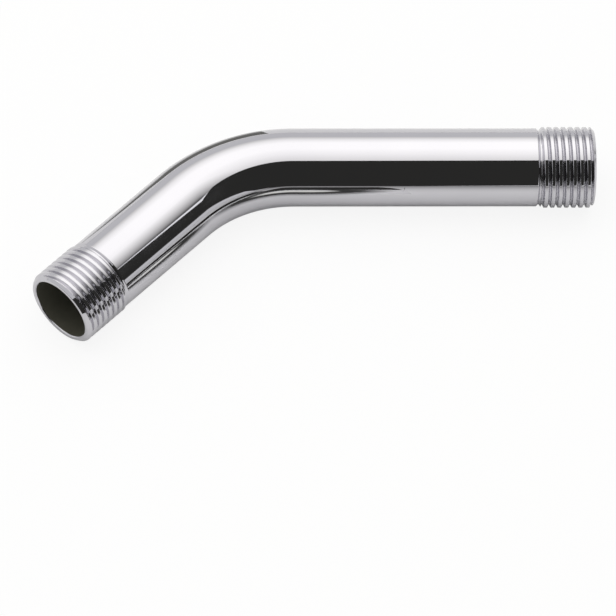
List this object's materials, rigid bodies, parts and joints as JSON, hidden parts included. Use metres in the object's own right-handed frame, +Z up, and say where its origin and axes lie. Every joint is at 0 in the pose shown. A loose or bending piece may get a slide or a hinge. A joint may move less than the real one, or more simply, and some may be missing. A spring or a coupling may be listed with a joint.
{
  "type": "shower arm",
  "caption": "Bent chrome-plated tube that carries a shower head out from the wall, with a male half-inch pipe thread at each end and an open water way through it.",
  "frame": {"origin": "centre of the wall end face, where the arm screws into the wall fitting", "axes": "+X along the wall leg, out of its threaded end; +Z up, square to the plane of the bend, with the arm lying flat; the head leg turns from -X towards -Y"},
  "size_m": [0.1442, 0.0609, 0.0207],
  "materials": {
    "chrome_plate": "polished"
  },
  "bodies": {
    "root": {"arm_tube": "chrome_plate"}
  },
  "joints": []
}
